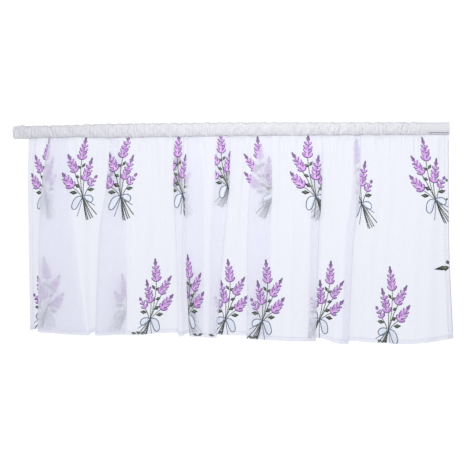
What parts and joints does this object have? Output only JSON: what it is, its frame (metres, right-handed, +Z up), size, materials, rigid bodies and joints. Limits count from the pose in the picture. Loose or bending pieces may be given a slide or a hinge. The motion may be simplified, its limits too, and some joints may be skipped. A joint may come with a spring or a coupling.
{
  "type": "window valance",
  "caption": "Sheer gathered window valance with a sewn rod pocket along its top edge, hanging in uneven overlapped folds.",
  "frame": {"origin": "mid-length of the rod pocket, on the line where the inside of the pocket rests on top of the rod", "axes": "+X along the rod, to the right as seen from the front; -Y out of the front of the cloth; +Z up"},
  "size_m": [0.9415, 0.0432, 0.4649],
  "materials": {
    "pocket_cloth": "fine white sheer weave, gathered and doubled, matt",
    "sheer_cloth": "fine white sheer weave, half see-through, matt, with embroidered lavender bunches"
  },
  "bodies": {
    "root": {"rod_pocket": "pocket_cloth", "panel": "sheer_cloth"}
  },
  "joints": []
}
